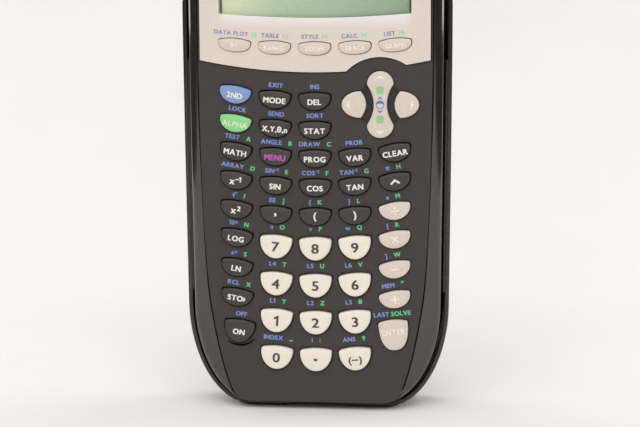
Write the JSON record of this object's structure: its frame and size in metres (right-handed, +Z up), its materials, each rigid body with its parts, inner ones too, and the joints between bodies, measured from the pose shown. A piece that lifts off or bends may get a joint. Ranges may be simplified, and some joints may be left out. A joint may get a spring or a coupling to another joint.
{
  "type": "graphing calculator",
  "caption": "Handheld graphing calculator with a sprung keypad, direction pad and wide display, standing in a slide case that pulls off its back.",
  "frame": {"origin": "middle of the footprint, on the surface that the slide case's two feet stand on", "axes": "+X to the right as the keys are seen, +Y from the keys to the back, +Z up along the calculator's length"},
  "size_m": [0.086, 0.027, 0.19],
  "materials": {
    "front_shell": "fine spark-eroded texture, dark grey",
    "rear_shell": "fine texture, near black",
    "bezel": "satin silver-beige moulding",
    "window": "clear hard-coated lens",
    "lcd": "grey-green reflective display",
    "silicone": "soft moulded sheet",
    "board": "green solder mask",
    "cells": "sleeved cells with bright ends",
    "steel_cell": "bright cell can",
    "case": "smooth near-black moulding",
    "pale_key": "satin pale grey",
    "dark_key": "satin dark grey",
    "number_key": "satin warm white",
    "blue_key": "satin light blue",
    "green_key": "satin light green"
  },
  "bodies": {
    "slide_case": {"slide_case": "case"},
    "calculator": {"front_housing": "front_shell", "rear_housing": "rear_shell", "screen_bezel": "bezel", "screen_window": "window", "lcd_panel": "lcd", "keypad_sheet": "silicone", "circuit_board": "board", "battery_door": "rear_shell", "battery_cells": "cells", "backup_cell": "steel_cell"},
    "key_function_1": {"key_function_1": "pale_key"},
    "key_function_2": {"key_function_2": "pale_key"},
    "key_function_3": {"key_function_3": "pale_key"},
    "key_function_4": {"key_function_4": "pale_key"},
    "key_function_5": {"key_function_5": "pale_key"},
    "key_second": {"key_second": "blue_key"},
    "key_mode": {"key_mode": "dark_key"},
    "key_delete": {"key_delete": "dark_key"},
    "key_alpha": {"key_alpha": "green_key"},
    "key_variable": {"key_variable": "dark_key"},
    "key_statistics": {"key_statistics": "dark_key"},
    "key_math": {"key_math": "dark_key"},
    "key_menu": {"key_menu": "dark_key"},
    "key_program": {"key_program": "dark_key"},
    "key_memory": {"key_memory": "dark_key"},
    "key_clear": {"key_clear": "dark_key"},
    "key_inverse": {"key_inverse": "dark_key"},
    "key_sine": {"key_sine": "dark_key"},
    "key_cosine": {"key_cosine": "dark_key"},
    "key_tangent": {"key_tangent": "dark_key"},
    "key_power": {"key_power": "dark_key"},
    "key_square": {"key_square": "dark_key"},
    "key_comma": {"key_comma": "dark_key"},
    "key_open_bracket": {"key_open_bracket": "dark_key"},
    "key_close_bracket": {"key_close_bracket": "dark_key"},
    "key_divide": {"key_divide": "pale_key"},
    "key_logarithm": {"key_logarithm": "dark_key"},
    "key_multiply": {"key_multiply": "pale_key"},
    "key_natural_logarithm": {"key_natural_logarithm": "dark_key"},
    "key_subtract": {"key_subtract": "pale_key"},
    "key_store": {"key_store": "dark_key"},
    "key_add": {"key_add": "pale_key"},
    "key_on": {"key_on": "dark_key"},
    "key_enter": {"key_enter": "pale_key"},
    "key_7": {"key_7": "number_key"},
    "key_8": {"key_8": "number_key"},
    "key_9": {"key_9": "number_key"},
    "key_4": {"key_4": "number_key"},
    "key_5": {"key_5": "number_key"},
    "key_6": {"key_6": "number_key"},
    "key_1": {"key_1": "number_key"},
    "key_2": {"key_2": "number_key"},
    "key_3": {"key_3": "number_key"},
    "key_0": {"key_0": "number_key"},
    "key_point": {"key_point": "number_key"},
    "key_negative": {"key_negative": "number_key"},
    "key_left": {"key_left": "pale_key"},
    "key_right": {"key_right": "pale_key"},
    "key_up_down": {"key_up_down": "pale_key"}
  },
  "joints": [
    {"name": "case_slide", "type": "slide", "parent": "slide_case", "child": "calculator", "axis": [0, 0, 1], "range_m": [0, 0.19]},
    {"name": "press_function_1", "type": "slide", "parent": "calculator", "child": "key_function_1", "axis": [0, 1, 0], "range_m": [0, 0.001], "stiffness_N_per_m": 200, "springref_m": -0.0015},
    {"name": "press_function_2", "type": "slide", "parent": "calculator", "child": "key_function_2", "axis": [0, 1, 0], "range_m": [0, 0.001], "stiffness_N_per_m": 200, "springref_m": -0.0015},
    {"name": "press_function_3", "type": "slide", "parent": "calculator", "child": "key_function_3", "axis": [0, 1, 0], "range_m": [0, 0.001], "stiffness_N_per_m": 200, "springref_m": -0.0015},
    {"name": "press_function_4", "type": "slide", "parent": "calculator", "child": "key_function_4", "axis": [0, 1, 0], "range_m": [0, 0.001], "stiffness_N_per_m": 200, "springref_m": -0.0015},
    {"name": "press_function_5", "type": "slide", "parent": "calculator", "child": "key_function_5", "axis": [0, 1, 0], "range_m": [0, 0.001], "stiffness_N_per_m": 200, "springref_m": -0.0015},
    {"name": "press_second", "type": "slide", "parent": "calculator", "child": "key_second", "axis": [0, 1, 0], "range_m": [0, 0.001], "stiffness_N_per_m": 200, "springref_m": -0.0015},
    {"name": "press_mode", "type": "slide", "parent": "calculator", "child": "key_mode", "axis": [0, 1, 0], "range_m": [0, 0.001], "stiffness_N_per_m": 200, "springref_m": -0.0015},
    {"name": "press_delete", "type": "slide", "parent": "calculator", "child": "key_delete", "axis": [0, 1, 0], "range_m": [0, 0.001], "stiffness_N_per_m": 200, "springref_m": -0.0015},
    {"name": "press_alpha", "type": "slide", "parent": "calculator", "child": "key_alpha", "axis": [0, 1, 0], "range_m": [0, 0.001], "stiffness_N_per_m": 200, "springref_m": -0.0015},
    {"name": "press_variable", "type": "slide", "parent": "calculator", "child": "key_variable", "axis": [0, 1, 0], "range_m": [0, 0.001], "stiffness_N_per_m": 200, "springref_m": -0.0015},
    {"name": "press_statistics", "type": "slide", "parent": "calculator", "child": "key_statistics", "axis": [0, 1, 0], "range_m": [0, 0.001], "stiffness_N_per_m": 200, "springref_m": -0.0015},
    {"name": "press_math", "type": "slide", "parent": "calculator", "child": "key_math", "axis": [0, 1, 0], "range_m": [0, 0.001], "stiffness_N_per_m": 200, "springref_m": -0.0015},
    {"name": "press_menu", "type": "slide", "parent": "calculator", "child": "key_menu", "axis": [0, 1, 0], "range_m": [0, 0.001], "stiffness_N_per_m": 200, "springref_m": -0.0015},
    {"name": "press_program", "type": "slide", "parent": "calculator", "child": "key_program", "axis": [0, 1, 0], "range_m": [0, 0.001], "stiffness_N_per_m": 200, "springref_m": -0.0015},
    {"name": "press_memory", "type": "slide", "parent": "calculator", "child": "key_memory", "axis": [0, 1, 0], "range_m": [0, 0.001], "stiffness_N_per_m": 200, "springref_m": -0.0015},
    {"name": "press_clear", "type": "slide", "parent": "calculator", "child": "key_clear", "axis": [0, 1, 0], "range_m": [0, 0.001], "stiffness_N_per_m": 200, "springref_m": -0.0015},
    {"name": "press_inverse", "type": "slide", "parent": "calculator", "child": "key_inverse", "axis": [0, 1, 0], "range_m": [0, 0.001], "stiffness_N_per_m": 200, "springref_m": -0.0015},
    {"name": "press_sine", "type": "slide", "parent": "calculator", "child": "key_sine", "axis": [0, 1, 0], "range_m": [0, 0.001], "stiffness_N_per_m": 200, "springref_m": -0.0015},
    {"name": "press_cosine", "type": "slide", "parent": "calculator", "child": "key_cosine", "axis": [0, 1, 0], "range_m": [0, 0.001], "stiffness_N_per_m": 200, "springref_m": -0.0015},
    {"name": "press_tangent", "type": "slide", "parent": "calculator", "child": "key_tangent", "axis": [0, 1, 0], "range_m": [0, 0.001], "stiffness_N_per_m": 200, "springref_m": -0.0015},
    {"name": "press_power", "type": "slide", "parent": "calculator", "child": "key_power", "axis": [0, 1, 0], "range_m": [0, 0.001], "stiffness_N_per_m": 200, "springref_m": -0.0015},
    {"name": "press_square", "type": "slide", "parent": "calculator", "child": "key_square", "axis": [0, 1, 0], "range_m": [0, 0.001], "stiffness_N_per_m": 200, "springref_m": -0.0015},
    {"name": "press_comma", "type": "slide", "parent": "calculator", "child": "key_comma", "axis": [0, 1, 0], "range_m": [0, 0.001], "stiffness_N_per_m": 200, "springref_m": -0.0015},
    {"name": "press_open_bracket", "type": "slide", "parent": "calculator", "child": "key_open_bracket", "axis": [0, 1, 0], "range_m": [0, 0.001], "stiffness_N_per_m": 200, "springref_m": -0.0015},
    {"name": "press_close_bracket", "type": "slide", "parent": "calculator", "child": "key_close_bracket", "axis": [0, 1, 0], "range_m": [0, 0.001], "stiffness_N_per_m": 200, "springref_m": -0.0015},
    {"name": "press_divide", "type": "slide", "parent": "calculator", "child": "key_divide", "axis": [0, 1, 0], "range_m": [0, 0.001], "stiffness_N_per_m": 200, "springref_m": -0.0015},
    {"name": "press_logarithm", "type": "slide", "parent": "calculator", "child": "key_logarithm", "axis": [0, 1, 0], "range_m": [0, 0.001], "stiffness_N_per_m": 200, "springref_m": -0.0015},
    {"name": "press_multiply", "type": "slide", "parent": "calculator", "child": "key_multiply", "axis": [0, 1, 0], "range_m": [0, 0.001], "stiffness_N_per_m": 200, "springref_m": -0.0015},
    {"name": "press_natural_logarithm", "type": "slide", "parent": "calculator", "child": "key_natural_logarithm", "axis": [0, 1, 0], "range_m": [0, 0.001], "stiffness_N_per_m": 200, "springref_m": -0.0015},
    {"name": "press_subtract", "type": "slide", "parent": "calculator", "child": "key_subtract", "axis": [0, 1, 0], "range_m": [0, 0.001], "stiffness_N_per_m": 200, "springref_m": -0.0015},
    {"name": "press_store", "type": "slide", "parent": "calculator", "child": "key_store", "axis": [0, 1, 0], "range_m": [0, 0.001], "stiffness_N_per_m": 200, "springref_m": -0.0015},
    {"name": "press_add", "type": "slide", "parent": "calculator", "child": "key_add", "axis": [0, 1, 0], "range_m": [0, 0.001], "stiffness_N_per_m": 200, "springref_m": -0.0015},
    {"name": "press_on", "type": "slide", "parent": "calculator", "child": "key_on", "axis": [0, 1, 0], "range_m": [0, 0.001], "stiffness_N_per_m": 200, "springref_m": -0.0015},
    {"name": "press_enter", "type": "slide", "parent": "calculator", "child": "key_enter", "axis": [0, 1, 0], "range_m": [0, 0.001], "stiffness_N_per_m": 200, "springref_m": -0.0015},
    {"name": "press_7", "type": "slide", "parent": "calculator", "child": "key_7", "axis": [0, 1, 0], "range_m": [0, 0.001], "stiffness_N_per_m": 200, "springref_m": -0.0015},
    {"name": "press_8", "type": "slide", "parent": "calculator", "child": "key_8", "axis": [0, 1, 0], "range_m": [0, 0.001], "stiffness_N_per_m": 200, "springref_m": -0.0015},
    {"name": "press_9", "type": "slide", "parent": "calculator", "child": "key_9", "axis": [0, 1, 0], "range_m": [0, 0.001], "stiffness_N_per_m": 200, "springref_m": -0.0015},
    {"name": "press_4", "type": "slide", "parent": "calculator", "child": "key_4", "axis": [0, 1, 0], "range_m": [0, 0.001], "stiffness_N_per_m": 200, "springref_m": -0.0015},
    {"name": "press_5", "type": "slide", "parent": "calculator", "child": "key_5", "axis": [0, 1, 0], "range_m": [0, 0.001], "stiffness_N_per_m": 200, "springref_m": -0.0015},
    {"name": "press_6", "type": "slide", "parent": "calculator", "child": "key_6", "axis": [0, 1, 0], "range_m": [0, 0.001], "stiffness_N_per_m": 200, "springref_m": -0.0015},
    {"name": "press_1", "type": "slide", "parent": "calculator", "child": "key_1", "axis": [0, 1, 0], "range_m": [0, 0.001], "stiffness_N_per_m": 200, "springref_m": -0.0015},
    {"name": "press_2", "type": "slide", "parent": "calculator", "child": "key_2", "axis": [0, 1, 0], "range_m": [0, 0.001], "stiffness_N_per_m": 200, "springref_m": -0.0015},
    {"name": "press_3", "type": "slide", "parent": "calculator", "child": "key_3", "axis": [0, 1, 0], "range_m": [0, 0.001], "stiffness_N_per_m": 200, "springref_m": -0.0015},
    {"name": "press_0", "type": "slide", "parent": "calculator", "child": "key_0", "axis": [0, 1, 0], "range_m": [0, 0.001], "stiffness_N_per_m": 200, "springref_m": -0.0015},
    {"name": "press_point", "type": "slide", "parent": "calculator", "child": "key_point", "axis": [0, 1, 0], "range_m": [0, 0.001], "stiffness_N_per_m": 200, "springref_m": -0.0015},
    {"name": "press_negative", "type": "slide", "parent": "calculator", "child": "key_negative", "axis": [0, 1, 0], "range_m": [0, 0.001], "stiffness_N_per_m": 200, "springref_m": -0.0015},
    {"name": "press_left", "type": "slide", "parent": "calculator", "child": "key_left", "axis": [0, 1, 0], "range_m": [0, 0.001], "stiffness_N_per_m": 200, "springref_m": -0.0015},
    {"name": "press_right", "type": "slide", "parent": "calculator", "child": "key_right", "axis": [0, 1, 0], "range_m": [0, 0.001], "stiffness_N_per_m": 200, "springref_m": -0.0015},
    {"name": "rock_up_down", "type": "hinge", "parent": "calculator", "child": "key_up_down", "pos_m": [0.0207, -0.0107, 0.0983], "axis": [1, 0, 0], "range_deg": [-4, 4], "stiffness_Nm_per_rad": 0.05}
  ]
}
